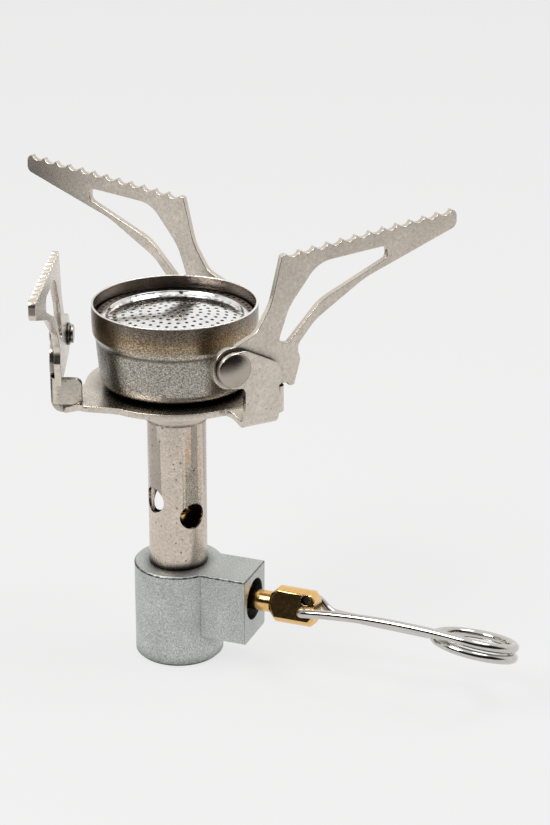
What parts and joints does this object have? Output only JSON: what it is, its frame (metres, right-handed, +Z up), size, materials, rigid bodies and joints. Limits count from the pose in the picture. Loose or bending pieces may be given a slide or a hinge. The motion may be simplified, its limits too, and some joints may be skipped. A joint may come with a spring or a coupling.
{
  "type": "canister camping stove",
  "caption": "Small screw-on gas stove with a round burner on a mixing tube, folding toothed pot supports and a brass valve with a wire handle.",
  "frame": {"origin": "centre of the mouth of the canister thread, in the face that the stove stands on", "axes": "+Z up along the thread, the mixing tube and the burner; +X along the valve spindle towards its handle"},
  "size_m": [0.1014, 0.0737, 0.0799],
  "materials": {
    "anodised_body": "fine bead-blasted grey",
    "brass": "bright turned brass",
    "sintered_bronze": "porous sintered bronze",
    "nitrile": "matt black nitrile",
    "steel": "plain steel",
    "rivet_steel": "turned and tumbled",
    "polished_wire": "drawn and polished stainless wire",
    "titanium_tube": "matt titanium with fine speckle",
    "titanium_sheet": "matt warm grey titanium",
    "oxidised_titanium": "heat-tinted brown grey titanium",
    "polished_plate": "bright pressed plate"
  },
  "bodies": {
    "root": {"valve_body": "anodised_body", "inlet_pin": "brass", "inlet_filter": "sintered_bronze", "inlet_seal": "nitrile", "jet": "brass", "spindle_seal": "nitrile", "gland_washer": "steel", "gland_bush": "anodised_body", "mixing_tube": "titanium_tube", "burner_cup": "oxidised_titanium", "flame_plate": "polished_plate", "support_bracket": "titanium_sheet", "hinge_rivet_1": "rivet_steel", "hinge_rivet_2": "rivet_steel", "hinge_rivet_3": "rivet_steel", "rivet_washer_1": "steel", "rivet_washer_2": "steel", "rivet_washer_3": "steel"},
    "spindle": {"valve_spindle": "brass", "spindle_clip": "steel"},
    "handle": {"wire_handle": "polished_wire"},
    "support_1": {"pot_support_1": "titanium_sheet"},
    "support_2": {"pot_support_2": "titanium_sheet"},
    "support_3": {"pot_support_3": "titanium_sheet"}
  },
  "joints": [
    {"name": "spindle_turn", "type": "hinge", "parent": "root", "child": "spindle", "pos_m": [0.018, 0, 0.0121], "axis": [1, 0, 0], "range_deg": [-180, 360]},
    {"name": "handle_fold", "type": "hinge", "parent": "spindle", "child": "handle", "pos_m": [0.0238, -0.00025, 0.01142], "axis": [0, -0.9397, 0.342], "range_deg": [-100, 100]},
    {"name": "support_fold_1", "type": "hinge", "parent": "root", "child": "support_1", "pos_m": [0.0146, -0.01153, 0.0594], "axis": [0.766, -0.6428, 0], "range_deg": [0, 220]},
    {"name": "support_fold_2", "type": "hinge", "parent": "root", "child": "support_2", "pos_m": [0.00269, 0.01841, 0.0594], "axis": [0.1736, 0.9848, 0], "range_deg": [0, 220]},
    {"name": "support_fold_3", "type": "hinge", "parent": "root", "child": "support_3", "pos_m": [-0.01729, -0.00688, 0.0594], "axis": [-0.9397, -0.342, 0], "range_deg": [0, 220]}
  ],
  "couplings": [
    {"joint": "support_fold_2", "follows": "support_fold_1", "ratio": 1},
    {"joint": "support_fold_3", "follows": "support_fold_1", "ratio": 1}
  ]
}
